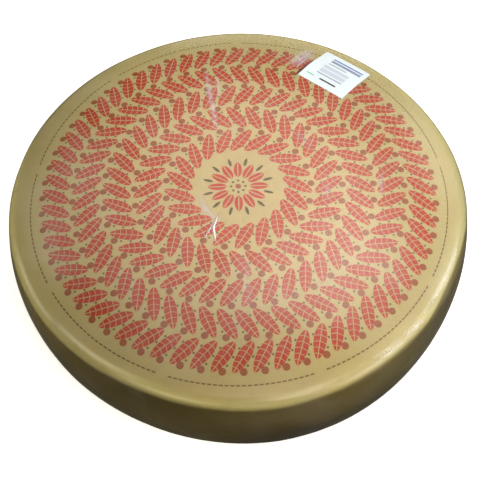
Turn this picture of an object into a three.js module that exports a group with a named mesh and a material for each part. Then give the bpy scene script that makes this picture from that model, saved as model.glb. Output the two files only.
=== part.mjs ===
// A whole emmental wheel, uncut, lying flat on its foot, with a paper label stuck on its top.
// Millimetres. +Z is up. The origin is on the ground under the middle of the wheel.
// +X is to the viewer's right and +Y points away from the viewer.
// The ripening gas lifts the top into a low dome and pushes the side out into a bulge.

import * as THREE from 'three';
import { mergeVertices } from 'three/addons/utils/BufferGeometryUtils.js';

// Driving sizes of the wheel
const WIDEST_RADIUS = 411;
const WIDEST_HEIGHT = 83.6;
const CROWN_HEIGHT = 201.9;
const SIDE_CURVE_RADIUS = 308;
const SHOULDER_RADIUS = 29;
const FOOT_RADIUS = 29;

// The dome falls away with a power of the distance from the middle, by this much at this radius
const DOME_POWER = 4;
const DOME_DROP = 25;
const DOME_DROP_RADIUS = 362.5;

// A hand-turned wheel is a little out of round: each wave has a count round the rim,
// a height in the radius and the angle in degrees where it stands out furthest
const RIM_WAVES = [
  { count: 2, height: 0.9, peak: -29 },
  { count: 3, height: 1.3, peak: 45 },
  { count: 4, height: 0.8, peak: 8 },
  { count: 5, height: 0.9, peak: -5 },
];

// Driving sizes of the label: its middle, its turn about the vertical and its paper
const LABEL_WIDTH = 100.5;
const LABEL_HEIGHT = 98.5;
const LABEL_PAPER = 0.4;
const LABEL_MIDDLE = { x: 190.7, y: 261 };
const LABEL_TURN = -39.8;
const LABEL_GAP = 0.3;

// The label's left edge has come unstuck: how high it stands, how far in the curl
// reaches, where along the edge it is highest, and half the length that is loose
const CURL_LIFT = 2.4;
const CURL_REACH = 26;
const CURL_MIDDLE = -12;
const CURL_HALF_LENGTH = 44;

// How finely the round shapes are divided
const STEPS_ROUND = 128;
const STEPS_BASE = 2;
const STEPS_FOOT = 5;
const STEPS_SIDE = 6;
const STEPS_SHOULDER = 6;
const STEPS_DOME = 10;
const LABEL_STEPS = 16;

const SOLVER_STEPS = 60;

// How the two materials look when nothing else is set
const RIND_COLOUR = 0xb8a878;
const RIND_ROUGHNESS = 0.35;
const LABEL_COLOUR = 0xf1f3f4;
const LABEL_ROUGHNESS = 0.6;

function degrees(angle) {
  return THREE.MathUtils.degToRad(angle);
}

function topHeight(radius) {
  return CROWN_HEIGHT - DOME_DROP * (radius / DOME_DROP_RADIUS) ** DOME_POWER;
}

function topSlope(radius) {
  const share = radius / DOME_DROP_RADIUS;
  return (DOME_POWER * DOME_DROP * share ** (DOME_POWER - 1)) / DOME_DROP_RADIUS;
}

// The side is one upright arc. Its centre lies inside the wheel, level with the widest ring.
const sideCentre = new THREE.Vector2(WIDEST_RADIUS - SIDE_CURVE_RADIUS, WIDEST_HEIGHT);

// The shoulder's arc touches the dome where the dome ends, at the given radius
function shoulderCentre(domeEnd) {
  const lean = Math.atan(topSlope(domeEnd));
  return new THREE.Vector2(
    domeEnd - SHOULDER_RADIUS * Math.sin(lean),
    topHeight(domeEnd) - SHOULDER_RADIUS * Math.cos(lean),
  );
}

// Halving finds the radius where the dome has to end for the shoulder to touch the side too
function findDomeEnd() {
  const reach = SIDE_CURVE_RADIUS - SHOULDER_RADIUS;
  let inner = WIDEST_RADIUS / 2;
  let outer = WIDEST_RADIUS;
  for (let step = 0; step < SOLVER_STEPS; step += 1) {
    const middle = (inner + outer) / 2;
    if (shoulderCentre(middle).distanceTo(sideCentre) < reach) inner = middle;
    else outer = middle;
  }
  return inner;
}

// The foot's arc touches the ground and the side
function footCentre() {
  const reach = SIDE_CURVE_RADIUS - FOOT_RADIUS;
  const drop = WIDEST_HEIGHT - FOOT_RADIUS;
  return new THREE.Vector2(sideCentre.x + Math.sqrt(reach ** 2 - drop ** 2), FOOT_RADIUS);
}

function angleOf(point, centre) {
  return Math.atan2(point.y - centre.y, point.x - centre.x);
}

// Points of an arc, without its first one
function arc(centre, radius, from, to, steps) {
  const points = [];
  for (let step = 1; step <= steps; step += 1) {
    const angle = from + ((to - from) * step) / steps;
    points.push(new THREE.Vector2(
      centre.x + radius * Math.cos(angle),
      centre.y + radius * Math.sin(angle),
    ));
  }
  return points;
}

// Half the wheel's section: out along the base, up the side, over the shoulder, in to the crown
function wheelProfile() {
  const foot = footCentre();
  const domeEnd = findDomeEnd();
  const shoulder = shoulderCentre(domeEnd);
  const footEnd = angleOf(foot, sideCentre);
  const shoulderStart = angleOf(shoulder, sideCentre);
  const shoulderEnd = Math.PI / 2 - Math.atan(topSlope(domeEnd));
  const points = [new THREE.Vector2(0, 0)];
  for (let step = 1; step <= STEPS_BASE; step += 1) {
    points.push(new THREE.Vector2((foot.x * step) / STEPS_BASE, 0));
  }
  points.push(...arc(foot, FOOT_RADIUS, -Math.PI / 2, footEnd, STEPS_FOOT));
  points.push(...arc(sideCentre, SIDE_CURVE_RADIUS, footEnd, shoulderStart, STEPS_SIDE));
  points.push(...arc(shoulder, SHOULDER_RADIUS, shoulderStart, shoulderEnd, STEPS_SHOULDER));
  for (let step = STEPS_DOME - 1; step > 0; step -= 1) {
    const radius = (domeEnd * step) / STEPS_DOME;
    points.push(new THREE.Vector2(radius, topHeight(radius)));
  }
  points.push(new THREE.Vector2(0, CROWN_HEIGHT));
  return points;
}

// How far the rim stands out of round at an angle, as a share of its radius
function outOfRound(angle) {
  let stand = 0;
  for (const wave of RIM_WAVES) {
    stand += wave.height * Math.cos(wave.count * angle - wave.count * degrees(wave.peak));
  }
  return stand / WIDEST_RADIUS;
}

// Moves every vertex to where place puts it
function reshape(geometry, place) {
  const position = geometry.getAttribute('position');
  const point = new THREE.Vector3();
  for (let index = 0; index < position.count; index += 1) {
    point.fromBufferAttribute(position, index);
    place(point);
    position.setXYZ(index, point.x, point.y, point.z);
  }
}

function onePiece(geometry) {
  geometry.deleteAttribute('normal');
  geometry.deleteAttribute('uv');
  return mergeVertices(geometry);
}

function wheelGeometry() {
  const turned = new THREE.LatheGeometry(wheelProfile(), STEPS_ROUND);
  turned.rotateX(Math.PI / 2);
  reshape(turned, (point) => {
    const grow = 1 + outOfRound(Math.atan2(point.y, point.x));
    point.x *= grow;
    point.y *= grow;
  });
  const wheel = onePiece(turned);
  wheel.computeBoundingBox();
  const middle = wheel.boundingBox.getCenter(new THREE.Vector3());
  wheel.translate(-middle.x, -middle.y, 0);
  return wheel;
}

// The label's own axes: across it, up it, and out of the cheese under its middle
function labelAxes() {
  const { x, y } = LABEL_MIDDLE;
  const radius = Math.hypot(x, y);
  const slope = topSlope(radius);
  const out = new THREE.Vector3((slope * x) / radius, (slope * y) / radius, 1).normalize();
  const turn = degrees(LABEL_TURN);
  const across = new THREE.Vector3(Math.cos(turn), Math.sin(turn), 0);
  across.addScaledVector(out, -across.dot(out)).normalize();
  return { across, up: new THREE.Vector3().crossVectors(out, across), out };
}

// Slides a point along the given direction until it lies on the domed top
function dropOntoTop(point, out) {
  for (let step = 0; step < SOLVER_STEPS; step += 1) {
    const above = point.z - topHeight(Math.hypot(point.x, point.y));
    point.addScaledVector(out, -above);
  }
}

function curl(x, y) {
  const inFromEdge = (x + LABEL_WIDTH / 2) / CURL_REACH;
  const along = Math.abs(y - CURL_MIDDLE) / CURL_HALF_LENGTH;
  if (inFromEdge >= 1 || along >= 1) return 0;
  return CURL_LIFT * (1 - inFromEdge) ** 2 * Math.cos((Math.PI / 2) * along) ** 2;
}

function labelGeometry() {
  const sheet = onePiece(new THREE.BoxGeometry(
    LABEL_WIDTH, LABEL_HEIGHT, LABEL_PAPER, LABEL_STEPS, LABEL_STEPS, 1,
  ));
  const { across, up, out } = labelAxes();
  const radius = Math.hypot(LABEL_MIDDLE.x, LABEL_MIDDLE.y);
  const middle = new THREE.Vector3(LABEL_MIDDLE.x, LABEL_MIDDLE.y, topHeight(radius));
  reshape(sheet, (point) => {
    const above = point.z + LABEL_PAPER / 2 + LABEL_GAP + curl(point.x, point.y);
    const { x, y } = point;
    point.copy(middle).addScaledVector(across, x).addScaledVector(up, y);
    dropOntoTop(point, out);
    point.addScaledVector(out, above);
  });
  return sheet;
}

function piece(name, geometry, color, roughness) {
  const material = new THREE.MeshStandardMaterial({ color, roughness, metalness: 0 });
  const mesh = new THREE.Mesh(geometry, material);
  mesh.name = name;
  return mesh;
}

const emmental = new THREE.Group();
emmental.add(piece('wheel', wheelGeometry(), RIND_COLOUR, RIND_ROUGHNESS));
emmental.add(piece('label', labelGeometry(), LABEL_COLOUR, LABEL_ROUGHNESS));

export default emmental;
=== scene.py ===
import math

import bmesh
import bpy
from mathutils import Matrix, Vector
from mathutils.bvhtree import BVHTree


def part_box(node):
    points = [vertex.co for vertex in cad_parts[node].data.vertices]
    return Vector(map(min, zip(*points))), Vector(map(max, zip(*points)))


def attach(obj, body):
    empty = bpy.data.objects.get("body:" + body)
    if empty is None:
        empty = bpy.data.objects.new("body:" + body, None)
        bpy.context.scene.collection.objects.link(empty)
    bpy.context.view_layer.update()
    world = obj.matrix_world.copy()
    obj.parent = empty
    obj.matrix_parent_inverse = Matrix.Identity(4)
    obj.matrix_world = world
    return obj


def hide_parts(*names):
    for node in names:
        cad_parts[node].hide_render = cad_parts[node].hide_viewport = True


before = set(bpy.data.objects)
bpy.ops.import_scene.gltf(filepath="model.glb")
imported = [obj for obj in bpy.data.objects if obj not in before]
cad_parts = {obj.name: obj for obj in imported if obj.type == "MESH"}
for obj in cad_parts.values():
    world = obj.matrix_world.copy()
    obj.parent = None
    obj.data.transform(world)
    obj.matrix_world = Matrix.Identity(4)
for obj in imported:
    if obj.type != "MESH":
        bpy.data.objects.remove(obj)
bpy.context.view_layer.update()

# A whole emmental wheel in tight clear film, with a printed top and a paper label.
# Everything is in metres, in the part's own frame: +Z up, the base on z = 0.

MM = 0.001

# The wheel's section, with the same sizes as the solid that it replaces
wheel_low, wheel_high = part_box("wheel")
CROWN_HEIGHT = wheel_high.z
WIDEST_RADIUS = 411 * MM
WIDEST_HEIGHT = 83.6 * MM
SIDE_CURVE_RADIUS = 308 * MM
SHOULDER_RADIUS = 29 * MM
FOOT_RADIUS = 29 * MM
DOME_POWER = 4
DOME_DROP = 25 * MM
DOME_DROP_RADIUS = 362.5 * MM

# Waves that make it out of round: count round the rim, height, angle of the peak in degrees
RIM_WAVES = ((2, 0.9 * MM, -29), (3, 1.3 * MM, 45), (4, 0.8 * MM, 8), (5, 0.9 * MM, -5))

# How finely the wheel is divided
STEPS_ROUND = 448
STEPS_DOME = 84
STEPS_SHOULDER = 18
STEPS_SIDE = 40
STEPS_FOOT = 16
STEPS_BASE = 26
SOLVER_STEPS = 60

# The layers on the cheese, out from the rind
FILM_RISE = 0.15 * MM
INK_RISE = 0.05 * MM
INK_DEPTH = 0.1 * MM
SECOND_INK_RISE = 1.6 * INK_RISE

# The printed top: its middle and its outer ring
PRINT_MIDDLE = Vector((2.2 * MM, -8.1 * MM, 0))
PRINT_RADIUS = 362.5 * MM

# The label's middle, turn, size and loose left edge
LABEL_MIDDLE = Vector((190.7 * MM, 261 * MM, 0))
LABEL_TURN = math.radians(-39.8)
LABEL_WIDTH = 100.5 * MM
LABEL_HEIGHT = 98.5 * MM
LABEL_PAPER = 0.25 * MM
LABEL_GAP = 0.3 * MM
CURL_LIFT = 2.4 * MM
CURL_REACH = 26 * MM
CURL_MIDDLE = -12 * MM
CURL_HALF_LENGTH = 44 * MM
LABEL_STEP = 2 * MM
LABEL_INK_SINK = 0.02 * MM
LABEL_INK_DEPTH = 0.05 * MM
CLEAR_OF_DOME = 50 * MM

# An edge that turns more than this stays sharp
SHARP_EDGE = math.radians(30)

# The camera stands where the photograph was taken from
CAMERA_PLACE = Vector((0.0023, -0.9991, 1.5511))
CAMERA_LOOKS_AT = Vector((0.0001, -0.1161, CROWN_HEIGHT))
CAMERA_ROLL = math.radians(-1.76)
CAMERA_LENS = 73.0

# The soft lights: name, azimuth, elevation, width, height, power and colour. The windows are to
# the right, and the room's own light is warmer
LIGHT_DISTANCE = 2.4
ROOM_LIGHT = 0.045
DAYLIGHT = "#e3ecff"
NEUTRAL = "#fffaf0"
CREAM = "#fff6d8"
WARM = "#ffedd6"
SOFTBOXES = (
    ("window_low_right", 5, 32, 0.7, 0.4, 15.6, DAYLIGHT),
    ("window_low_front_right", -26, 18, 0.9, 0.7, 11.9, DAYLIGHT),
    ("window_low_front", -44, 15, 0.9, 0.7, 7.8, NEUTRAL),
    ("window_high_front_right", -20, 38, 0.9, 0.6, 6.7, NEUTRAL),
    ("window_high_right", -10, 50, 1.0, 0.5, 5.0, WARM),
    ("softbox_front_edge", -70, 34, 0.9, 0.5, 13.2, CREAM),
    ("softbox_front_right", 300, 50, 0.9, 0.7, 12.0, WARM),
    ("softbox_front", 270, 65, 0.9, 0.7, 5.6, WARM),
    ("softbox_back_right", 45, 62, 1.2, 1.0, 20.0, NEUTRAL),
    ("softbox_back_right_low", 45, 30, 1.0, 0.7, 7.6, NEUTRAL),
    ("softbox_back", 85, 48, 1.2, 0.8, 7.6, NEUTRAL),
    ("softbox_back_high", 90, 74, 1.8, 1.5, 14.4, NEUTRAL),
    ("softbox_back_left", 140, 45, 1.2, 0.9, 6.0, NEUTRAL),
    ("softbox_left", 208, 34, 0.9, 0.7, 12.4, CREAM),
    ("fill_back", 82, 7, 1.6, 0.4, 5.0, CREAM),
    ("fill_left", 180, 15, 1.0, 0.7, 11.4, CREAM),
    ("fill_front", 242, 10, 0.9, 0.5, 6.5, CREAM),
    ("fill_front_low", 275, 6, 0.9, 0.5, 2.1, CREAM),
)


def linear(hex_colour):
    """An sRGB hex colour as the linear colour that shaders take."""
    shares = [int(hex_colour[i:i + 2], 16) / 255 for i in (1, 3, 5)]
    return tuple(
        s / 12.92 if s <= 0.04045 else ((s + 0.055) / 1.055) ** 2.4 for s in shares
    ) + (1.0,)


def add(tree, kind, inputs=None, **settings):
    """Adds one node, sets it, and sets its inputs or links them: a node by its first output."""
    node = tree.nodes.new(kind)
    for name, value in settings.items():
        setattr(node, name, value)
    for key, value in (inputs or {}).items():
        if isinstance(value, bpy.types.Node):
            value = value.outputs[0]
        if isinstance(value, bpy.types.NodeSocket):
            tree.links.new(value, node.inputs[key])
        else:
            node.inputs[key].default_value = value
    return node


def new_material(name):
    material = bpy.data.materials.new(name)
    material.use_nodes = True
    material.node_tree.nodes.clear()
    return material, material.node_tree


def new_tree(name, inputs):
    """An empty Geometry Nodes tree with named inputs. Gives the tree and its input node."""
    tree = bpy.data.node_groups.new(name, "GeometryNodeTree")
    tree.interface.new_socket("Geometry", in_out="INPUT", socket_type="NodeSocketGeometry")
    for label, kind in inputs:
        tree.interface.new_socket(label, in_out="INPUT", socket_type="NodeSocket" + kind)
    tree.interface.new_socket("Geometry", in_out="OUTPUT", socket_type="NodeSocketGeometry")
    return tree, tree.nodes.new("NodeGroupInput")


def end_tree(tree, geometry, material):
    """Realize Instances, Set Material and the way out."""
    real = add(tree, "GeometryNodeRealizeInstances", {0: geometry})
    coated = add(tree, "GeometryNodeSetMaterial", {0: real, "Material": material})
    add(tree, "NodeGroupOutput", {0: coated})


def keep_above(tree, geometry, lowest):
    """Lifts what would lie lower than the given height."""
    there = add(tree, "ShaderNodeSeparateXYZ", {0: add(tree, "GeometryNodeInputPosition")})
    lifted = add(tree, "ShaderNodeMath", {0: there.outputs[2], 1: lowest}, operation="MAXIMUM")
    place = add(tree, "ShaderNodeCombineXYZ", {
        0: there.outputs[0], 1: there.outputs[1], 2: lifted,
    })
    return add(tree, "GeometryNodeSetPosition", {0: geometry, "Position": place})


def lie_on_rind(tree, geometry, plan, rind, rise):
    """Drops a flat thing from its place in plan onto the rind. It stands off by its rise."""
    far_above = 2 * CROWN_HEIGHT
    above = add(tree, "ShaderNodeVectorMath", {0: plan, 1: (0, 0, far_above)}, operation="ADD")
    target = add(tree, "GeometryNodeObjectInfo", {"Object": rind}).outputs["Geometry"]
    hit = add(tree, "GeometryNodeRaycast", {
        "Target Geometry": target, "Source Position": above, "Ray Direction": (0, 0, -1),
        "Ray Length": far_above,
    })
    proud = add(tree, "ShaderNodeVectorMath", {
        0: hit.outputs["Hit Normal"], "Scale": rise,
    }, operation="SCALE")
    place = add(tree, "ShaderNodeVectorMath", {
        0: hit.outputs["Hit Position"], 1: proud,
    }, operation="ADD")
    laid = add(tree, "GeometryNodeSetPosition", {0: geometry, "Position": place})
    return add(tree, "GeometryNodeSetShadeSmooth", {0: laid})


def grow(name, tree, inputs):
    """Runs a tree on a carrier object and gives what it makes as a plain mesh."""
    carrier = bpy.data.objects.new(name, bpy.data.meshes.new(name))
    bpy.context.scene.collection.objects.link(carrier)
    modifier = carrier.modifiers.new(name, "NODES")
    modifier.node_group = tree
    for item in tree.interface.items_tree:
        if item.in_out == "INPUT" and item.name in inputs:
            modifier[item.identifier] = inputs[item.name]
    carrier.update_tag()
    evaluated = carrier.evaluated_get(bpy.context.evaluated_depsgraph_get())
    mesh = bpy.data.meshes.new_from_object(evaluated)
    bpy.data.objects.remove(carrier)
    while len(mesh.materials) and mesh.materials[0] is None:
        mesh.materials.pop(index=0)
    return mesh


def hidden_object(name, mesh):
    """A tool object that a tree reads. It is removed once the tree has run."""
    thing = bpy.data.objects.new(name, mesh)
    bpy.context.scene.collection.objects.link(thing)
    return thing


def finish_piece(name, mesh, replaced=()):
    """Puts a finished mesh into the scene as a piece of the wheel."""
    mesh.name = name
    piece = bpy.data.objects.new(name, mesh)
    bpy.context.scene.collection.objects.link(piece)
    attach(piece, "root")
    if replaced:
        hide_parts(*replaced)
    return piece


def join_meshes(name, meshes, material):
    """Several meshes as one, all of one material."""
    joined = bmesh.new()
    for mesh in meshes:
        joined.from_mesh(mesh)
    for face in joined.faces:
        face.material_index = 0
    result = bpy.data.meshes.new(name)
    result.materials.append(material)
    joined.to_mesh(result)
    joined.free()
    return result


# Camera, light and floor

# Just under the film, so that the two don't lie in one plane
FLOOR_HEIGHT = -0.1 * MM
FLOOR_HALF = 8.0


def stand_camera():
    forward = (CAMERA_LOOKS_AT - CAMERA_PLACE).normalized()
    level = forward.cross(Vector((0, 0, 1))).normalized()
    upright = level.cross(forward)
    right = level * math.cos(CAMERA_ROLL) + upright * math.sin(CAMERA_ROLL)
    up = right.cross(forward)
    turn = Matrix((right, up, -forward)).transposed()
    data = bpy.data.cameras.new("camera")
    data.lens = CAMERA_LENS
    data.sensor_width = 36
    data.clip_start = 0.05
    camera = bpy.data.objects.new("camera", data)
    camera.matrix_world = Matrix.Translation(CAMERA_PLACE) @ turn.to_4x4()
    bpy.context.scene.collection.objects.link(camera)
    bpy.context.scene.camera = camera


def hang_softbox(name, azimuth, elevation, width, height, watts, colour):
    """A soft light on the dome of the studio. Azimuth 0 is the right, 90 the back."""
    turn, lift = math.radians(azimuth), math.radians(elevation)
    flat = LIGHT_DISTANCE * math.cos(lift)
    aim = Vector((0, 0, CROWN_HEIGHT))
    offset = Vector((
        flat * math.cos(turn), flat * math.sin(turn), LIGHT_DISTANCE * math.sin(lift),
    ))
    data = bpy.data.lights.new(name, "AREA")
    data.shape = "RECTANGLE"
    data.size = width
    data.size_y = height
    data.energy = watts
    data.color = linear(colour)[:3]
    light = bpy.data.objects.new(name, data)
    light.location = aim + offset
    light.rotation_euler = (-offset).to_track_quat("-Z", "Y").to_euler()
    bpy.context.scene.collection.objects.link(light)


def light_studio():
    for softbox in SOFTBOXES:
        hang_softbox(*softbox)
    world = bpy.data.worlds.new("dim_room")
    world.use_nodes = True
    world.node_tree.nodes["Background"].inputs["Color"].default_value = linear("#fdf3e4")
    world.node_tree.nodes["Background"].inputs["Strength"].default_value = ROOM_LIGHT
    bpy.context.scene.world = world
    bpy.context.scene.view_settings.view_transform = "Standard"


def lay_floor():
    mesh = bpy.data.meshes.new("floor")
    corners = [(-1, -1), (1, -1), (1, 1), (-1, 1)]
    mesh.from_pydata(
        [(x * FLOOR_HALF, y * FLOOR_HALF, FLOOR_HEIGHT) for x, y in corners], [], [(0, 1, 2, 3)]
    )
    material, tree = new_material("white_sweep")
    shader = add(tree, "ShaderNodeBsdfPrincipled", {
        "Base Color": linear("#f4f4f3"), "Roughness": 0.8,
        "Emission Color": linear("#ffffff"), "Emission Strength": 0.5,
    })
    add(tree, "ShaderNodeOutputMaterial", {"Surface": shader})
    mesh.materials.append(material)
    floor = bpy.data.objects.new("floor", mesh)
    bpy.context.scene.collection.objects.link(floor)
    # The photographed wheel's side has nothing bright round it, so the floor throws no light back
    floor.visible_diffuse = False
    floor.visible_glossy = False


# Materials

# The rind's clouds, blotches and grain: the pattern's size, detail and roughness
RIND_PATTERNS = ((90 * MM, 3.0, 0.55), (14 * MM, 4.0, 0.6), (2.2 * MM, 3.0, 0.65))
# Where the side's darker colour reaches higher, a painted shade on the side that faces the
# windows: direction in degrees, how far out it starts and is full, and by how much
PAINTED_SHADE_RISES = ((-26, 386 * MM, 400 * MM, 11 * MM), (-42, 318 * MM, 345 * MM, 3.5 * MM))


def distance_from_axis(tree, place):
    level = add(tree, "ShaderNodeVectorMath", {0: place, 1: (1, 1, 0)}, operation="MULTIPLY")
    return add(tree, "ShaderNodeVectorMath", {0: level}, operation="LENGTH").outputs["Value"]


def rind_material():
    """Emmental rind, dry and brushed: satin, pale gold in the middle, olive gold to the rim."""
    material, tree = new_material("aged_emmental_rind")
    place = add(tree, "ShaderNodeTexCoord").outputs["Object"]
    reach = distance_from_axis(tree, place)
    clouds, blotches, grain = [
        add(tree, "ShaderNodeTexNoise", {
            "Vector": place, "Scale": 1 / size, "Detail": detail, "Roughness": roughness,
        }) for size, detail, roughness in RIND_PATTERNS
    ]
    # The clouds make the change from pale to olive uneven
    uneven = add(tree, "ShaderNodeMath", {
        0: clouds, 1: 60 * MM, 2: reach,
    }, operation="MULTIPLY_ADD")
    outward = add(tree, "ShaderNodeMapRange", {
        "Value": uneven, "From Min": 200 * MM, "From Max": 415 * MM,
    })
    top = add(tree, "ShaderNodeMix", {
        0: outward, 6: linear("#ccbc8d"), 7: linear("#b4a978"),
    }, data_type="RGBA").outputs[2]
    # The shoulder is paler, partly a painted sheen, and the side below it is browner: partly the
    # rind's own brown and partly painted shade
    height = add(tree, "ShaderNodeSeparateXYZ", {0: place}).outputs[2]
    low = add(tree, "ShaderNodeMath", {0: clouds, 1: 8 * MM, 2: height}, operation="MULTIPLY_ADD")
    # Painted shade: toward these directions the dark side colour reaches higher up the shoulder
    for angle, start, full, rise in PAINTED_SHADE_RISES:
        turn = math.radians(angle)
        toward = add(tree, "ShaderNodeVectorMath", {
            0: place, 1: (math.cos(turn), math.sin(turn), 0),
        }, operation="DOT_PRODUCT").outputs["Value"]
        drop = add(tree, "ShaderNodeMapRange", {
            "Value": toward, "From Min": start, "From Max": full, "To Max": -rise,
        })
        low = add(tree, "ShaderNodeMath", {0: low, 1: drop}, operation="ADD")
    # Painted sheen: the pale band on the shoulder stands partly for light that the shoulder
    # catches
    shoulder_sheen_share = add(tree, "ShaderNodeMapRange", {
        "Value": low, "From Min": 177 * MM, "From Max": 169 * MM,
    }, interpolation_type="SMOOTHSTEP")
    top_with_painted_shoulder_sheen = add(tree, "ShaderNodeMix", {
        0: shoulder_sheen_share, 6: top, 7: linear("#bcb481"),
    }, data_type="RGBA").outputs[2]
    downward = add(tree, "ShaderNodeMapRange", {
        "Value": low, "From Min": 161.5 * MM, "From Max": 153 * MM,
    }, interpolation_type="SMOOTHSTEP")
    # Painted shade: the side's colour is darkest just under the shoulder and lighter toward the
    # foot
    painted_shade_toward_foot = add(tree, "ShaderNodeMapRange", {
        "Value": height, "From Min": 145 * MM, "From Max": 95 * MM,
    })
    side = add(tree, "ShaderNodeMix", {
        0: painted_shade_toward_foot, 6: linear("#7b6f45"), 7: linear("#8d7f51"),
    }, data_type="RGBA").outputs[2]
    colour = add(tree, "ShaderNodeMix", {
        0: downward, 6: top_with_painted_shoulder_sheen, 7: side,
    }, data_type="RGBA").outputs[2]
    for pattern, start, stain in ((blotches, 0.5, "#a08f5c"), (grain, 0.55, "#8d7a48")):
        share = add(tree, "ShaderNodeMapRange", {
            "Value": pattern, "From Min": start, "From Max": 0.8, "To Max": 0.25,
        })
        colour = add(tree, "ShaderNodeMix", {
            0: share, 6: colour, 7: linear(stain),
        }, data_type="RGBA").outputs[2]
    roughness = add(tree, "ShaderNodeMapRange", {
        "Value": blotches, "From Min": 0.3, "From Max": 0.7, "To Min": 0.38, "To Max": 0.5,
    })
    bump = add(tree, "ShaderNodeBump", {"Height": grain, "Distance": 0.06 * MM, "Strength": 0.5})
    shader = add(tree, "ShaderNodeBsdfPrincipled", {
        "Base Color": colour, "Roughness": roughness, "Normal": bump,
        "IOR": 1.46, "Specular IOR Level": 0.2,
    })
    add(tree, "ShaderNodeOutputMaterial", {"Surface": shader})
    return material


def ink_material(name, full, thin):
    """Food ink rolled onto the rind, of one colour where it is full and another where it is thin.
    The rind shows through it, so it darkens to the rim as the rind does."""
    material, tree = new_material(name)
    place = add(tree, "ShaderNodeTexCoord").outputs["Object"]
    mottle = add(tree, "ShaderNodeTexNoise", {
        "Vector": place, "Scale": 1 / (4 * MM), "Detail": 3.0, "Roughness": 0.6,
    })
    share = add(tree, "ShaderNodeMapRange", {"Value": mottle, "From Min": 0.42, "From Max": 0.68})
    rolled = add(tree, "ShaderNodeMix", {
        0: share, 6: linear(full), 7: linear(thin),
    }, data_type="RGBA").outputs[2]
    outward = add(tree, "ShaderNodeMapRange", {
        "Value": distance_from_axis(tree, place), "From Min": 90 * MM, "From Max": 330 * MM,
    })
    colour = add(tree, "ShaderNodeMix", {
        0: outward, 6: rolled, 7: linear("#ebe7e0"),
    }, data_type="RGBA", blend_type="MULTIPLY").outputs[2]
    shader = add(tree, "ShaderNodeBsdfPrincipled", {
        "Base Color": colour, "Roughness": 0.42, "IOR": 1.46, "Specular IOR Level": 0.2,
    })
    add(tree, "ShaderNodeOutputMaterial", {"Surface": shader})
    return material


def film_shader(tree, haze, tint, roughness, mirror_ior=1.5, body_colour="#ffffff"):
    """Clear film: what is behind it shows through, veiled by haze and by its own gloss."""
    clear = add(tree, "ShaderNodeBsdfTransparent", {"Color": linear(body_colour)})
    milky = add(tree, "ShaderNodeBsdfDiffuse", {"Color": linear(tint)})
    body = add(tree, "ShaderNodeMixShader", {0: haze, 1: clear, 2: milky})
    mirror = add(tree, "ShaderNodeFresnel", {"IOR": mirror_ior})
    gloss = add(tree, "ShaderNodeBsdfGlossy", {"Color": linear("#ffffff"), "Roughness": roughness})
    shader = add(tree, "ShaderNodeMixShader", {0: mirror, 1: body, 2: gloss})
    add(tree, "ShaderNodeOutputMaterial", {"Surface": shader})


def film_material():
    """Polyethylene stretch film: satin, and hazy in patches."""
    material, tree = new_material("clear_stretch_film")
    place = add(tree, "ShaderNodeTexCoord").outputs["Object"]
    patches = add(tree, "ShaderNodeTexNoise", {
        "Vector": place, "Scale": 1 / (70 * MM), "Detail": 4.0, "Roughness": 0.6,
    })
    haze = add(tree, "ShaderNodeMapRange", {
        "Value": patches, "From Min": 0.45, "From Max": 0.75, "To Max": 0.04,
    })
    film_shader(tree, haze, "#f4f1f4", 0.3)
    return material


def folded_film_painted_glint_material():
    """Three or four layers of the film drawn into a crease: milky along its ridge, and glossy. The
    milky ridge is partly a painted glint, bright under any light.
    """
    material, tree = new_material("folded_stretch_film")
    strength = add(tree, "ShaderNodeAttribute", attribute_name="strength").outputs["Fac"]
    film_shader(tree, strength, "#f3f0f8", 0.14, 1.7, "#f6f0f4")
    return material


def painted_label_shadow_film_material():
    """Tinted film along the label's loose edge: its dark body colour, which lets little light
    through, is a painted shadow of the lifted edge. It is glossy and mirrors the room.
    """
    material, tree = new_material("bunched_stretch_film")
    film_shader(tree, 0.0, "#ffffff", 0.25, 1.4, "#c69cab")
    return material


def rippled_film_material():
    """One layer of the film standing in low ripples over the shoulder."""
    material, tree = new_material("rippled_stretch_film")
    film_shader(tree, 0.0, "#ffffff", 0.2)
    return material


def milky_film_painted_sheen_material(name, tint):
    """Film that has let go of the rind: milky, most in the middle of the patch. The milky colour
    is partly a painted reflection of the lights on the film.
    """
    material, tree = new_material(name)
    strength = add(tree, "ShaderNodeAttribute", attribute_name="strength").outputs["Fac"]
    place = add(tree, "ShaderNodeTexCoord").outputs["Object"]
    wisps = add(tree, "ShaderNodeTexNoise", {
        "Vector": place, "Scale": 1 / (12 * MM), "Detail": 3.0, "Roughness": 0.6,
    })
    uneven = add(tree, "ShaderNodeMapRange", {
        "Value": wisps, "From Min": 0.3, "From Max": 0.65, "To Min": 0.25, "To Max": 1.0,
    })
    haze = add(tree, "ShaderNodeMath", {0: strength, 1: uneven}, operation="MULTIPLY")
    clear = add(tree, "ShaderNodeBsdfTransparent")
    milky = add(tree, "ShaderNodeBsdfDiffuse", {"Color": linear(tint)})
    shader = add(tree, "ShaderNodeMixShader", {0: haze, 1: clear, 2: milky})
    add(tree, "ShaderNodeOutputMaterial", {"Surface": shader})
    return material


# The cheese


def top_height(radius):
    return CROWN_HEIGHT - DOME_DROP * (radius / DOME_DROP_RADIUS) ** DOME_POWER


def top_slope(radius):
    share = radius / DOME_DROP_RADIUS
    return DOME_POWER * DOME_DROP * share ** (DOME_POWER - 1) / DOME_DROP_RADIUS


def arc(centre, radius, start, end, steps):
    """Points of an arc in the section, without its first one."""
    angles = [start + (end - start) * step / steps for step in range(1, steps + 1)]
    return [(centre[0] + radius * math.cos(a), centre[1] + radius * math.sin(a)) for a in angles]


def shoulder_centre(dome_end):
    lean = math.atan(top_slope(dome_end))
    return (
        dome_end - SHOULDER_RADIUS * math.sin(lean),
        top_height(dome_end) - SHOULDER_RADIUS * math.cos(lean),
    )


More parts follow.
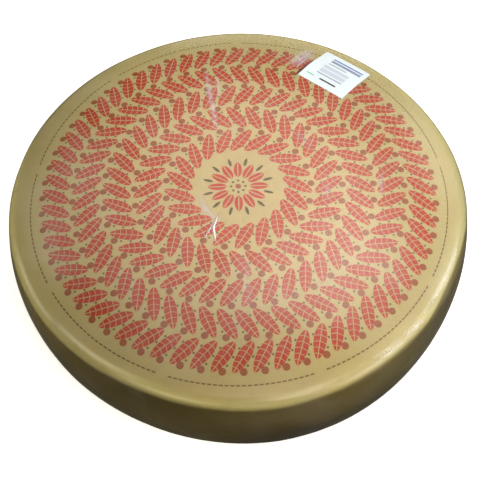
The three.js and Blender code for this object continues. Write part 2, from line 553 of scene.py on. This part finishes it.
def find_dome_end(side_centre):
    """Halves its way to the radius where the dome ends and the shoulder touches the side."""
    inner, outer = WIDEST_RADIUS / 2, WIDEST_RADIUS
    for _ in range(SOLVER_STEPS):
        middle = (inner + outer) / 2
        if math.dist(shoulder_centre(middle), side_centre) < SIDE_CURVE_RADIUS - SHOULDER_RADIUS:
            inner = middle
        else:
            outer = middle
    return inner


def wheel_section():
    """Half the section: from the crown over the shoulder, down the side and in along the base."""
    side = (WIDEST_RADIUS - SIDE_CURVE_RADIUS, WIDEST_HEIGHT)
    dome_end = find_dome_end(side)
    shoulder = shoulder_centre(dome_end)
    reach = SIDE_CURVE_RADIUS - FOOT_RADIUS
    drop = WIDEST_HEIGHT - FOOT_RADIUS
    foot = (side[0] + math.sqrt(reach ** 2 - drop ** 2), FOOT_RADIUS)
    side_top = math.atan2(shoulder[1] - side[1], shoulder[0] - side[0])
    side_foot = math.atan2(foot[1] - side[1], foot[0] - side[0])
    rim_start = math.pi / 2 - math.atan(top_slope(dome_end))
    points = []
    for step in range(STEPS_DOME + 1):
        radius = dome_end * step / STEPS_DOME
        points.append((radius, top_height(radius)))
    points += arc(shoulder, SHOULDER_RADIUS, rim_start, side_top, STEPS_SHOULDER)
    points += arc(side, SIDE_CURVE_RADIUS, side_top, side_foot, STEPS_SIDE)
    points += arc(foot, FOOT_RADIUS, side_foot, -math.pi / 2, STEPS_FOOT)
    for step in range(1, STEPS_BASE + 1):
        points.append((foot[0] * (1 - step / STEPS_BASE), 0))
    return points


def turned_wheel_tree():
    """Turns the section round the axis, out of round, and gives the rind its soft hollows."""
    tree, group = new_tree("turned_wheel", (
        ("Section", "Object"), ("Steps Round", "Int"), ("Relief Height", "Float"),
        ("Relief Width", "Float"), ("Lowest", "Float"), ("Material", "Material"),
    ))
    section = add(tree, "GeometryNodeObjectInfo", {"Object": group.outputs["Section"]})
    rows = add(tree, "GeometryNodeAttributeDomainSize", {
        0: section.outputs["Geometry"],
    }).outputs["Point Count"]
    columns = add(tree, "ShaderNodeMath", {
        0: group.outputs["Steps Round"], 1: 1.0,
    }, operation="ADD")
    grid = add(tree, "GeometryNodeMeshGrid", {
        "Size X": 1.0, "Size Y": 1.0, "Vertices X": rows, "Vertices Y": columns,
    })
    flat = add(tree, "ShaderNodeSeparateXYZ", {0: add(tree, "GeometryNodeInputPosition")})
    last_row = add(tree, "ShaderNodeMath", {0: rows, 1: 1.0}, operation="SUBTRACT")
    down = add(tree, "ShaderNodeMath", {0: flat.outputs[0], 1: 0.5}, operation="ADD")
    row = add(tree, "ShaderNodeMath", {0: down, 1: last_row}, operation="MULTIPLY")
    row = add(tree, "ShaderNodeMath", {0: row}, operation="ROUND")
    point = add(tree, "GeometryNodeSampleIndex", {
        "Geometry": section.outputs["Geometry"],
        "Value": add(tree, "GeometryNodeInputPosition"),
        "Index": row,
    }, data_type="FLOAT_VECTOR")
    point = add(tree, "ShaderNodeSeparateXYZ", {0: point})
    angle = add(tree, "ShaderNodeMath", {0: flat.outputs[1], 1: math.tau}, operation="MULTIPLY")
    grown = 1.0
    for count, height, peak in RIM_WAVES:
        phase = add(tree, "ShaderNodeMath", {
            0: angle, 1: float(count), 2: -count * math.radians(peak),
        }, operation="MULTIPLY_ADD")
        wave = add(tree, "ShaderNodeMath", {0: phase}, operation="COSINE")
        grown = add(tree, "ShaderNodeMath", {
            0: wave, 1: height / WIDEST_RADIUS, 2: grown,
        }, operation="MULTIPLY_ADD")
    radius = add(tree, "ShaderNodeMath", {0: point.outputs[0], 1: grown}, operation="MULTIPLY")
    x, y = [
        add(tree, "ShaderNodeMath", {
            0: radius, 1: add(tree, "ShaderNodeMath", {0: angle}, operation=direction),
        }, operation="MULTIPLY") for direction in ("COSINE", "SINE")
    ]
    place = add(tree, "ShaderNodeCombineXYZ", {0: x, 1: y, 2: point.outputs[2]})
    turned = add(tree, "GeometryNodeSetPosition", {0: grid.outputs["Mesh"], "Position": place})
    closed = add(tree, "GeometryNodeMergeByDistance", {0: turned, "Distance": 0.01 * MM})
    here = add(tree, "GeometryNodeInputPosition")
    density = add(tree, "ShaderNodeMath", {
        0: 1.0, 1: group.outputs["Relief Width"],
    }, operation="DIVIDE")
    hollows = add(tree, "ShaderNodeTexNoise", {
        "Vector": here, "Scale": density, "Detail": 2.0, "Roughness": 0.4,
    })
    # The base stays flat, so the relief fades out above the foot
    level = add(tree, "ShaderNodeSeparateXYZ", {0: here}).outputs[2]
    free = add(tree, "ShaderNodeMapRange", {
        "Value": level, "From Min": 4 * MM, "From Max": 30 * MM,
    }, interpolation_type="SMOOTHSTEP")
    centred = add(tree, "ShaderNodeMath", {0: hollows, 1: 0.5}, operation="SUBTRACT")
    rise = add(tree, "ShaderNodeMath", {
        0: centred, 1: group.outputs["Relief Height"],
    }, operation="MULTIPLY")
    rise = add(tree, "ShaderNodeMath", {0: rise, 1: free}, operation="MULTIPLY")
    shift = add(tree, "ShaderNodeVectorMath", {
        0: add(tree, "GeometryNodeInputNormal"), "Scale": rise,
    }, operation="SCALE")
    pressed = add(tree, "GeometryNodeSetPosition", {0: closed, "Offset": shift})
    standing = keep_above(tree, pressed, group.outputs["Lowest"])
    smooth = add(tree, "GeometryNodeSetShadeSmooth", {0: standing})
    end_tree(tree, smooth, group.outputs["Material"])
    return tree


def centre_on_frame(mesh):
    """Moves a mesh sideways so that the middle of its box is the CAD wheel's."""
    middle = (wheel_low + wheel_high) / 2
    for axis in (0, 1):
        places = [vertex.co[axis] for vertex in mesh.vertices]
        step = Vector((0, 0, 0))
        step[axis] = middle[axis] - (min(places) + max(places)) / 2
        mesh.transform(Matrix.Translation(step))


def make_cheese():
    points = wheel_section()
    mesh = bpy.data.meshes.new("section")
    edges = [(i, i + 1) for i in range(len(points) - 1)]
    mesh.from_pydata([(r, 0, z) for r, z in points], edges, [])
    section = hidden_object("section", mesh)
    wheel = grow("cheese", turned_wheel_tree(), {
        "Section": section, "Steps Round": STEPS_ROUND, "Relief Height": 2.2 * MM,
        "Relief Width": 110 * MM, "Lowest": FILM_RISE, "Material": rind_material(),
    })
    bpy.data.objects.remove(section)
    centre_on_frame(wheel)
    return finish_piece("cheese", wheel, ("wheel",))


# The print


def lay_as_ink(tree, flat, group):
    """Drops flat marks onto the rind and gives them the thickness of ink."""
    plan = add(tree, "GeometryNodeInputPosition")
    smooth = lie_on_rind(tree, flat, plan, group.outputs["Rind"], group.outputs["Rise"])
    down = add(tree, "ShaderNodeVectorMath", {
        0: add(tree, "GeometryNodeInputNormal"), "Scale": -INK_DEPTH,
    }, operation="SCALE")
    under = add(tree, "GeometryNodeExtrudeMesh", {
        "Mesh": smooth, "Offset": down, "Offset Scale": 1.0, "Individual": False,
    })
    both = add(tree, "GeometryNodeJoinGeometry")
    for half in (under, add(tree, "GeometryNodeFlipFaces", {0: smooth})):
        tree.links.new(half.outputs[0], both.inputs[0])
    whole = add(tree, "GeometryNodeMergeByDistance", {0: both, "Distance": 0.002 * MM})
    turned_out = add(tree, "GeometryNodeFlipFaces", {0: whole})
    edge_angle = add(tree, "GeometryNodeInputMeshEdgeAngle")
    soft = add(tree, "FunctionNodeCompare", {
        0: edge_angle, 1: SHARP_EDGE,
    }, data_type="FLOAT", operation="LESS_THAN")
    return add(tree, "GeometryNodeSetShadeSmooth", {
        0: turned_out, "Shade Smooth": soft,
    }, domain="EDGE")


def printed_ring_tree():
    """A ring of one mark, each turned with its place on the ring, laid on the rind as ink."""
    tree, group = new_tree("printed_ring", (
        ("Mark", "Object"), ("Count", "Int"), ("Ring Radius", "Float"), ("Turn", "Float"),
        ("Lean", "Float"), ("Middle", "Vector"), ("Rind", "Object"), ("Rise", "Float"),
        ("Material", "Material"),
    ))
    step = add(tree, "ShaderNodeMath", {
        0: math.tau, 1: group.outputs["Count"],
    }, operation="DIVIDE")
    angle = add(tree, "ShaderNodeMath", {
        0: add(tree, "GeometryNodeInputIndex"), 1: step, 2: group.outputs["Turn"],
    }, operation="MULTIPLY_ADD")
    outward = add(tree, "ShaderNodeCombineXYZ", {
        0: add(tree, "ShaderNodeMath", {0: angle}, operation="COSINE"),
        1: add(tree, "ShaderNodeMath", {0: angle}, operation="SINE"),
    })
    place = add(tree, "ShaderNodeVectorMath", {
        0: outward, 1: group.outputs["Ring Radius"], 2: group.outputs["Middle"],
    }, operation="MULTIPLY_ADD")
    heading = add(tree, "ShaderNodeMath", {0: angle, 1: group.outputs["Lean"]}, operation="ADD")
    ring = add(tree, "GeometryNodePoints", {"Count": group.outputs["Count"], "Position": place})
    # The heading is read on the points, before the marks take their place
    headed = add(tree, "GeometryNodeStoreNamedAttribute", {
        0: ring, "Name": "heading", "Value": heading,
    }, data_type="FLOAT", domain="POINT")
    turned = add(tree, "GeometryNodeInputNamedAttribute", {"Name": "heading"}, data_type="FLOAT")
    mark = add(tree, "GeometryNodeObjectInfo", {"Object": group.outputs["Mark"]})
    marks = add(tree, "GeometryNodeInstanceOnPoints", {
        "Points": headed, "Instance": mark.outputs["Geometry"],
        "Rotation": add(tree, "ShaderNodeCombineXYZ", {2: turned}),
    })
    real = add(tree, "GeometryNodeRealizeInstances", {0: marks})
    end_tree(tree, lay_as_ink(tree, real, group), group.outputs["Material"])
    return tree


def flat_mesh(name, points, faces):
    mesh = bpy.data.meshes.new(name)
    mesh.from_pydata([(x, y, 0) for x, y in points], [], faces)
    return mesh


def leaf_reach(share, width):
    """Half the width of a leaf at a share of its length: full, and pointed at both ends."""
    return width / 2 * max(0.0, math.sin(math.pi * share ** 0.9)) ** 0.55


def leaf_mesh(length, width, vein, lobes=1, gap=0.0, sweep=0.0):
    """A pointed leaf along X. A bare vein parts its halves, and bare side veins part the lobes."""
    points, faces = [], []
    columns, rows = 3 if lobes > 1 else 8, 2
    for side in (1, -1):
        for lobe in range(lobes):
            start = len(points)
            near, far = lobe / lobes + gap / 2, (lobe + 1) / lobes - gap / 2
            near = 0.0 if lobe == 0 else near
            far = 1.0 if lobe == lobes - 1 else far
            for column in range(columns + 1):
                step = column / columns
                if lobes > 1 and lobe == 0:
                    step = step ** 2
                elif lobes > 1 and lobe == lobes - 1:
                    step = 1 - (1 - step) ** 2
                share = near + (far - near) * step
                for row in range(rows + 1):
                    out = row / rows
                    swept = share + sweep * out * 4 * share * (1 - share)
                    inner = min(vein / 2, leaf_reach(swept, width) / 2)
                    y = inner + (leaf_reach(swept, width) - inner) * out
                    points.append((length * (swept - 0.5), side * y))
            for column in range(columns):
                for row in range(rows):
                    a = start + column * (rows + 1) + row
                    face = (a, a + rows + 1, a + rows + 2, a + 1)
                    faces.append(face if side == 1 else tuple(reversed(face)))
    return flat_mesh("leaf", points, faces)


def disc_mesh(radius, sides, rings=1):
    """A flat disc, in rings from its middle."""
    points, faces = [(0, 0)], []
    for ring in range(1, rings + 1):
        for side in range(sides):
            angle = math.tau * side / sides
            reach = radius * ring / rings
            points.append((reach * math.cos(angle), reach * math.sin(angle)))
    for side in range(sides):
        after = (side + 1) % sides
        faces.append((0, 1 + side, 1 + after))
        for ring in range(rings - 1):
            inner, outer = 1 + ring * sides, 1 + (ring + 1) * sides
            faces.append((inner + side, outer + side, outer + after, inner + after))
    return flat_mesh("disc", points, faces)


def dash_mesh(length, width, steps=2):
    """A short line across the ring: it runs along Y."""
    points, faces = [], []
    for step in range(steps + 1):
        y = length * (step / steps - 0.5)
        points += [(-width / 2, y), (width / 2, y)]
    for step in range(steps):
        low = 2 * step
        faces.append((low, low + 1, low + 3, low + 2))
    return flat_mesh("dash", points, faces)


class Press:
    """Prints rings of marks on the cheese and gathers them by ink."""

    def __init__(self, rind):
        self.tree = printed_ring_tree()
        self.rind = rind
        self.sheets = {}

    def ring(self, ink, mark, count, radius, turn=0.0, lean=0.0, rise=INK_RISE):
        stamp = hidden_object("stamp", mark)
        mesh = grow("printed_ring", self.tree, {
            "Mark": stamp, "Count": count, "Ring Radius": radius, "Turn": turn, "Lean": lean,
            "Middle": PRINT_MIDDLE, "Rind": self.rind, "Rise": rise, "Material": ink,
        })
        bpy.data.objects.remove(stamp)
        self.sheets.setdefault(ink, []).append(mesh)

    def finish(self):
        for ink, meshes in self.sheets.items():
            finish_piece(ink.name, join_meshes(ink.name, meshes, ink))


# The garlands: rings of slanted leaves, leaning one way and then the other, from the middle out
GARLANDS = 5
FIRST_GARLAND = 0.283 * PRINT_RADIUS
GARLAND_PITCH = 0.149 * PRINT_RADIUS
LEAF_LENGTH = 0.163 * PRINT_RADIUS
LEAF_WIDTH = 0.058 * PRINT_RADIUS
LEAF_VEIN = 0.004 * PRINT_RADIUS
LEAF_LOBES = 6
LEAF_GAP = 0.018
LEAF_SWEEP = 0.05
LEAF_SPACING = 0.086 * PRINT_RADIUS
LEAF_LEAN = math.radians(34)
BERRY_RADIUS = 0.0058 * PRINT_RADIUS
BERRY_SHARES = (-0.28, 0, 0.28)
DISC_RADIUS = 0.017 * PRINT_RADIUS


def print_top(rind):
    red = ink_material("print_red", "#c03820", "#c9563a")
    brown = ink_material("print_brown", "#a35c33", "#ae6c42")
    olive = ink_material("print_olive", "#74622e", "#86743c")
    press = Press(rind)
    leaf = leaf_mesh(LEAF_LENGTH, LEAF_WIDTH, LEAF_VEIN, LEAF_LOBES, LEAF_GAP, LEAF_SWEEP)
    berry = disc_mesh(BERRY_RADIUS, 8)
    disc = disc_mesh(DISC_RADIUS, 14)
    for garland in range(GARLANDS):
        radius = FIRST_GARLAND + garland * GARLAND_PITCH
        count = round(math.tau * radius / LEAF_SPACING)
        step = math.tau / count
        lean = LEAF_LEAN if garland % 2 else -LEAF_LEAN
        press.ring(red, leaf, count, radius, lean=lean)
        # Berries lie along the slant, halfway between two leaves
        for share in BERRY_SHARES:
            out = radius + share * LEAF_LENGTH * math.cos(lean)
            slant = share * LEAF_LENGTH * math.sin(lean) / out
            press.ring(olive, berry, count, out, turn=step / 2 + slant)
        tip = radius + LEAF_LENGTH / 2 * math.cos(lean) - 0.2 * DISC_RADIUS
        slant = LEAF_LENGTH / 2 * math.sin(lean) / tip
        press.ring(brown, disc, count, tip, turn=step / 2 + slant, rise=SECOND_INK_RISE)
    print_rosette(press, red, brown, olive)
    print_outer_line(press, olive)
    press.finish()


ROSETTE_PETALS = 12
ROSETTE_SEEDS = 8
ROSETTE_HEART = 0.014 * PRINT_RADIUS


def print_rosette(press, red, brown, olive):
    """The middle: an open flower of red petals round a seed head, with leaflets between them."""
    petal = leaf_mesh(0.092 * PRINT_RADIUS, 0.040 * PRINT_RADIUS, 0.005 * PRINT_RADIUS)
    press.ring(red, petal, ROSETTE_PETALS, 0.100 * PRINT_RADIUS)
    leaflet = leaf_mesh(0.050 * PRINT_RADIUS, 0.016 * PRINT_RADIUS, 0.0)
    half_step = math.pi / ROSETTE_PETALS
    press.ring(olive, leaflet, ROSETTE_PETALS, 0.148 * PRINT_RADIUS, turn=half_step)
    press.ring(olive, disc_mesh(0.007 * PRINT_RADIUS, 8), ROSETTE_SEEDS, 0.034 * PRINT_RADIUS)
    press.ring(brown, disc_mesh(ROSETTE_HEART, 16, 2), 1, 0.0)


OUTER_GROUPS = 9
OUTER_DASHES = 26
OUTER_WIDTH = 0.0062 * PRINT_RADIUS
OUTER_INKED_SHARE = 0.72
OUTER_TURN = 0.2


def print_outer_line(press, olive):
    """A fine broken line round the print, in groups with a gap between them."""
    whole = OUTER_GROUPS * (OUTER_DASHES + 2)
    pitch = math.tau / whole
    dash = dash_mesh(OUTER_INKED_SHARE * pitch * PRINT_RADIUS, OUTER_WIDTH)
    for place in range(OUTER_DASHES):
        press.ring(olive, dash, OUTER_GROUPS, PRINT_RADIUS, turn=place * pitch + OUTER_TURN)


# The film


def stretched_film_tree():
    """A skin over the cheese, pulled tight, with a few low creases."""
    tree, group = new_tree("stretched_film", (
        ("Rind", "Object"), ("Rise", "Float"), ("Crease Height", "Float"),
        ("Crease Width", "Float"), ("Material", "Material"),
    ))
    rind = add(tree, "GeometryNodeObjectInfo", {"Object": group.outputs["Rind"]})
    here = add(tree, "GeometryNodeInputPosition")
    density = add(tree, "ShaderNodeMath", {
        0: 1.0, 1: group.outputs["Crease Width"],
    }, operation="DIVIDE")
    ripple = add(tree, "ShaderNodeTexNoise", {"Vector": here, "Scale": density, "Detail": 2.0})
    crease = add(tree, "ShaderNodeMapRange", {
        "Value": ripple, "From Min": 0.5, "From Max": 0.8,
    }, interpolation_type="SMOOTHSTEP")
    lift = add(tree, "ShaderNodeMath", {
        0: crease, 1: group.outputs["Crease Height"], 2: group.outputs["Rise"],
    }, operation="MULTIPLY_ADD")
    out = add(tree, "ShaderNodeVectorMath", {
        0: add(tree, "GeometryNodeInputNormal"), "Scale": lift,
    }, operation="SCALE")
    skin = add(tree, "GeometryNodeSetPosition", {0: rind.outputs["Geometry"], "Offset": out})
    end_tree(tree, keep_above(tree, skin, 0.0), group.outputs["Material"])
    return tree


def wrap_in_film(cheese, film):
    mesh = grow("clear_film", stretched_film_tree(), {
        "Rind": cheese, "Rise": FILM_RISE, "Crease Height": 0.1 * MM,
        "Crease Width": 60 * MM, "Material": film,
    })
    finish_piece("clear_film", mesh, ("wheel",))


# Creases in millimetres, each with its width, its height, its strength and its path in plan. The
# strength sets how milky a crease is; on the folds that milkiness is partly a painted glint
FILM_FOLDS = (
    (5.5, 1.2, 0.9, ((-32, -60), (-37, -80), (-41, -96), (-37, -128))),
    (4.5, 0.8, 0.45, ((-38, -76), (-46, -92), (-52, -104), (-58, -116))),
    (4.0, 1.4, 0.4, ((112, 264), (124, 282), (138, 300), (150, 318))),
    (5.0, 1.0, 0.35, ((120, 290), (130, 302), (138, 314), (140, 330))),
)
# Painted shadow along the label's loose edge: a strip of darkly tinted film, given in the same way
LABEL_PAINTED_SHADOWS = (
    (6, 0.6, 1.0, ((114, 252), (124, 265), (138, 282), (154, 301))),
)
RIM_RIPPLES = (
    (6, 0.35, 1.0, ((373, -116), (366, -140), (356, -163))),
    (5, 0.35, 1.0, ((353, -171), (342, -194), (328, -215))),
    (6, 0.4, 1.0, ((325, -212), (311, -233), (297, -251))),
    (5, 0.35, 1.0, ((299, -258), (282, -276), (264, -292))),
    (6, 0.35, 1.0, ((288, -262), (272, -278), (256, -290))),
    (6, 0.3, 1.0, ((258, -298), (236, -314), (212, -328))),
)
# Patches where the film has let go, given in the same way. They hardly stand off. Their milky
# colour is partly a painted reflection of the lights
SLACK_AND_SHEEN_PATCHES = (
    (16, 0.3, 0.45, ((-54, 286), (-47, 215), (-38, 158), (-33, 92))),
    (9, 0.3, 0.35, ((-35, 262), (-30, 225), (-30, 190))),
    (62, 0.3, 0.05, ((-2, -118), (-3, -212), (-8, -302))),
    (12, 0.3, 0.18, ((10, -140), (14, -200), (12, -262))),
    (18, 0.3, 0.4, ((-62, -18), (-58, -46), (-44, -68), (-18, -80))),
    (12, 0.3, 0.35, ((157, 6), (155, -26), (152, -52))),
    (10, 0.3, 0.35, ((252, 20), (251, -4), (247, -38))),
    (46, 0.4, 0.45, ((106, 276), (124, 300), (144, 322), (156, 338))),
    (24, 0.3, 0.16, ((96, 120), (122, 92), (140, 60))),
)
# Painted highlight: milky ivory patches along the shoulder's highlight, given in the same way
SHOULDER_PAINTED_HIGHLIGHTS = (
    (15, 0.3, 0.5, ((366, -128), (350, -168), (326, -208), (298, -246))),
    (12, 0.3, 0.6, ((300, -250), (280, -272), (258, -290))),
    (12, 0.3, 0.4, ((262, -290), (236, -310), (206, -326))),
)


def film_crease_tree():
    """A strip of film along a path, lying on the cheese: it swells to a ridge and tapers off."""
    tree, group = new_tree("film_crease", (
        ("Path", "Object"), ("Rind", "Object"), ("Width", "Float"), ("Height", "Float"),
        ("Strength", "Float"), ("Rise", "Float"), ("Steps Along", "Int"),
        ("Steps Across", "Int"), ("Material", "Material"),
    ))
    path = add(tree, "GeometryNodeObjectInfo", {"Object": group.outputs["Path"]})
    line = add(tree, "GeometryNodeMeshToCurve", {0: path.outputs["Geometry"]})
    curve = add(tree, "GeometryNodeCurveSplineType", {0: line}, spline_type="CATMULL_ROM")
    grid = add(tree, "GeometryNodeMeshGrid", {
        "Size X": 1.0, "Size Y": 1.0, "Vertices X": group.outputs["Steps Along"],
        "Vertices Y": group.outputs["Steps Across"],
    })
    flat = add(tree, "ShaderNodeSeparateXYZ", {0: add(tree, "GeometryNodeInputPosition")})
    along = add(tree, "ShaderNodeMath", {0: flat.outputs[0], 1: 0.5}, operation="ADD")
    half_turn = add(tree, "ShaderNodeMath", {0: along, 1: math.pi}, operation="MULTIPLY")
    swell = add(tree, "ShaderNodeMath", {0: half_turn}, operation="SINE")
    taper = add(tree, "ShaderNodeMath", {
        0: add(tree, "ShaderNodeMath", {0: swell, 1: 0.03}, operation="MAXIMUM"),
        1: 0.6,
    }, operation="POWER")
    turn = add(tree, "ShaderNodeMath", {0: flat.outputs[1], 1: math.pi}, operation="MULTIPLY")
    ridge = add(tree, "ShaderNodeMath", {
        0: add(tree, "ShaderNodeMath", {0: turn}, operation="COSINE"), 1: 2.0,
    }, operation="POWER")
    strength = add(tree, "ShaderNodeMath", {0: ridge, 1: swell}, operation="MULTIPLY")
    share = add(tree, "ShaderNodeMath", {
        0: strength, 1: group.outputs["Strength"],
    }, operation="MULTIPLY")
    kept = add(tree, "GeometryNodeStoreNamedAttribute", {
        0: grid.outputs["Mesh"], "Name": "strength", "Value": share,
    }, data_type="FLOAT", domain="POINT")
    sample = add(tree, "GeometryNodeSampleCurve", {
        "Curves": curve, "Factor": along,
    }, mode="FACTOR", use_all_curves=True)
    across = add(tree, "ShaderNodeVectorMath", {
        0: (0, 0, 1), 1: sample.outputs["Tangent"],
    }, operation="CROSS_PRODUCT")
    across = add(tree, "ShaderNodeVectorMath", {0: across}, operation="NORMALIZE")
    reach = add(tree, "ShaderNodeMath", {
        0: flat.outputs[1], 1: group.outputs["Width"],
    }, operation="MULTIPLY")
    reach = add(tree, "ShaderNodeMath", {0: reach, 1: taper}, operation="MULTIPLY")
    offset = add(tree, "ShaderNodeVectorMath", {0: across, "Scale": reach}, operation="SCALE")
    plan = add(tree, "ShaderNodeVectorMath", {
        0: sample.outputs["Position"], 1: offset,
    }, operation="ADD")
    stand = add(tree, "ShaderNodeMath", {
        0: strength, 1: group.outputs["Height"], 2: group.outputs["Rise"],
    }, operation="MULTIPLY_ADD")
    laid = lie_on_rind(tree, kept, plan, group.outputs["Rind"], stand)
    end_tree(tree, laid, group.outputs["Material"])
    return tree


def path_object(places):
    """A chain of edges through places on the top, given in millimetres."""
    mesh = bpy.data.meshes.new("path")
    edges = [(i, i + 1) for i in range(len(places) - 1)]
    mesh.from_pydata([(x * MM, y * MM, 0) for x, y in places], edges, [])
    return hidden_object("path", mesh)


def draw_creases(name, cheese, creases, material, rise, across):
    tree = film_crease_tree()
    meshes = []
    for width, height, strength, places in creases:
        path = path_object(places)
        length = sum(math.dist(a, b) for a, b in zip(places, places[1:]))
        meshes.append(grow(name, tree, {
            "Path": path, "Rind": cheese, "Width": width * MM, "Height": height * MM,
            "Strength": strength, "Rise": rise, "Steps Along": max(16, round(length / 2)),
            "Steps Across": across, "Material": material,
        }))
        bpy.data.objects.remove(path)
    finish_piece(name, join_meshes(name, meshes, material))


# The label


def label_axes():
    """Across the label, up it, out of the cheese, and the point of the dome under its middle."""
    radius = math.hypot(LABEL_MIDDLE.x, LABEL_MIDDLE.y)
    slope = top_slope(radius)
    out = Vector((slope * LABEL_MIDDLE.x, slope * LABEL_MIDDLE.y, radius)).normalized()
    across = Vector((math.cos(LABEL_TURN), math.sin(LABEL_TURN), 0))
    across = (across - out * across.dot(out)).normalized()
    middle = Vector((LABEL_MIDDLE.x, LABEL_MIDDLE.y, top_height(radius)))
    return across, out.cross(across), out, middle


def curl(x, y):
    """How far the loose left edge stands off."""
    inward = (x + LABEL_WIDTH / 2) / CURL_REACH
    along = abs(y - CURL_MIDDLE) / CURL_HALF_LENGTH
    if inward >= 1 or along >= 1:
        return 0.0
    return CURL_LIFT * (1 - inward) ** 2 * math.cos(math.pi / 2 * along) ** 2


def stick_on(mesh, rind_tree, above, thickness):
    """Bends a flat mesh in the label's own plane onto the cheese and gives it a thickness."""
    across, up, out, middle = label_axes()
    built = bmesh.new()
    built.from_mesh(mesh)
    for vertex in built.verts:
        x, y = vertex.co.x, vertex.co.y
        start = middle + across * x + up * y + out * CLEAR_OF_DOME
        hit = rind_tree.ray_cast(start, -out)[0]
        vertex.co = hit + out * (above + curl(x, y))
    shell = bmesh.ops.extrude_face_region(built, geom=built.faces[:])
    lifted = [item for item in shell["geom"] if isinstance(item, bmesh.types.BMVert)]
    bmesh.ops.translate(built, verts=lifted, vec=out * thickness)
    bmesh.ops.recalc_face_normals(built, faces=built.faces[:])
    for face in built.faces:
        face.smooth = True
    for edge in built.edges:
        edge.smooth = edge.calc_face_angle(math.pi) < SHARP_EDGE
    built.to_mesh(mesh)
    built.free()
    return mesh


def sheet_mesh(name, left, bottom, width, height, step):
    """A flat rectangle divided into squares of about the given step."""
    columns, rows = max(1, round(width / step)), max(1, round(height / step))
    points = [
        (left + width * i / columns, bottom + height * j / rows)
        for j in range(rows + 1) for i in range(columns + 1)
    ]
    faces = []
    for j in range(rows):
        for i in range(columns):
            first = j * (columns + 1) + i
            faces.append((first, first + 1, first + columns + 2, first + columns + 1))
    return flat_mesh(name, points, faces)


def paper_material():
    """Thermal label paper: smooth, white with a blue cast, faint fibres."""
    material, tree = new_material("white_label_paper")
    place = add(tree, "ShaderNodeTexCoord").outputs["Object"]
    fibres = add(tree, "ShaderNodeTexNoise", {
        "Vector": place, "Scale": 1 / (1.2 * MM), "Detail": 4.0,
    })
    tone = add(tree, "ShaderNodeTexNoise", {
        "Vector": place, "Scale": 1 / (30 * MM), "Detail": 2.0,
    })
    colour = add(tree, "ShaderNodeMix", {
        0: tone, 6: linear("#bccad7"), 7: linear("#c9d3da"),
    }, data_type="RGBA").outputs[2]
    bump = add(tree, "ShaderNodeBump", {"Height": fibres, "Distance": 0.02 * MM, "Strength": 0.4})
    shader = add(tree, "ShaderNodeBsdfPrincipled", {
        "Base Color": colour, "Roughness": 0.5, "Normal": bump,
    })
    add(tree, "ShaderNodeOutputMaterial", {"Surface": shader})
    return material


def label_ink(name, hex_colour):
    """Thermal or toner print on the label: matt, a little uneven."""
    material, tree = new_material(name)
    place = add(tree, "ShaderNodeTexCoord").outputs["Object"]
    mottle = add(tree, "ShaderNodeTexNoise", {
        "Vector": place, "Scale": 1 / (2 * MM), "Detail": 2.0,
    })
    share = add(tree, "ShaderNodeMapRange", {
        "Value": mottle, "From Min": 0.5, "From Max": 0.9, "To Max": 0.3,
    })
    colour = add(tree, "ShaderNodeMix", {
        0: share, 6: linear(hex_colour), 7: linear("#c6d2d9"),
    }, data_type="RGBA").outputs[2]
    shader = add(tree, "ShaderNodeBsdfPrincipled", {"Base Color": colour, "Roughness": 0.55})
    add(tree, "ShaderNodeOutputMaterial", {"Surface": shader})
    return material


# Plain bars on the label: ink, left, bottom, width and height in millimetres
LABEL_MARKS = (
    ("label_blue", -25, 34, 66, 4), ("label_slate", -25, 24, 66, 7),
    ("label_grey", -25, 16, 40, 3),
    ("label_faint", -28, 1, 55, 9), ("label_faint", -28, -13, 55, 11),
    ("label_grey", -28, -20, 55, 3.4),
    ("label_black", -13, -34, 36, 4), ("label_green", -42, -34, 16, 4),
)
LABEL_COLOURS = {
    "label_blue": "#4a62a6", "label_slate": "#6f7d95", "label_grey": "#838d98",
    "label_faint": "#a7b3c3", "label_black": "#0c1011", "label_green": "#7db09a",
}


def stick_label(cheese):
    tree = BVHTree.FromPolygons(
        [v.co for v in cheese.data.vertices], [p.vertices for p in cheese.data.polygons]
    )
    sheet = sheet_mesh(
        "label_sheet", -LABEL_WIDTH / 2, -LABEL_HEIGHT / 2, LABEL_WIDTH, LABEL_HEIGHT, LABEL_STEP
    )
    stick_on(sheet, tree, LABEL_GAP, LABEL_PAPER)
    sheet.materials.append(paper_material())
    finish_piece("label_sheet", sheet, ("label",))
    for name, colour in LABEL_COLOURS.items():
        ink = label_ink(name, colour)
        bars = []
        for kind, left, bottom, width, height in LABEL_MARKS:
            if kind != name:
                continue
            bar = sheet_mesh(name, left * MM, bottom * MM, width * MM, height * MM, LABEL_STEP)
            stick_on(bar, tree, LABEL_GAP + LABEL_PAPER - LABEL_INK_SINK, LABEL_INK_DEPTH)
            bars.append(bar)
        finish_piece(name, join_meshes(name, bars, ink))


stand_camera()
light_studio()
lay_floor()
cheese = make_cheese()
print_top(cheese)
wrap_in_film(cheese, film_material())
# Milky film patches, partly painted reflections of the lights
lavender = milky_film_painted_sheen_material("slack_stretch_film", "#d9d2e2")
draw_creases("slack_film", cheese, SLACK_AND_SHEEN_PATCHES, lavender, 2 * FILM_RISE, 9)
# Painted highlight along the shoulder, as milky ivory film
ivory_highlight = milky_film_painted_sheen_material("slack_shoulder_film", "#f2e9d2")
draw_creases("shoulder_film", cheese, SHOULDER_PAINTED_HIGHLIGHTS, ivory_highlight, 2 * FILM_RISE, 9)
draw_creases("film_ripples", cheese, RIM_RIPPLES, rippled_film_material(), 2 * FILM_RISE, 15)
draw_creases("film_at_label", cheese, LABEL_PAINTED_SHADOWS, painted_label_shadow_film_material(), 2 * FILM_RISE, 15)
draw_creases("film_folds", cheese, FILM_FOLDS, folded_film_painted_glint_material(), 2.5 * FILM_RISE, 15)
stick_label(cheese)
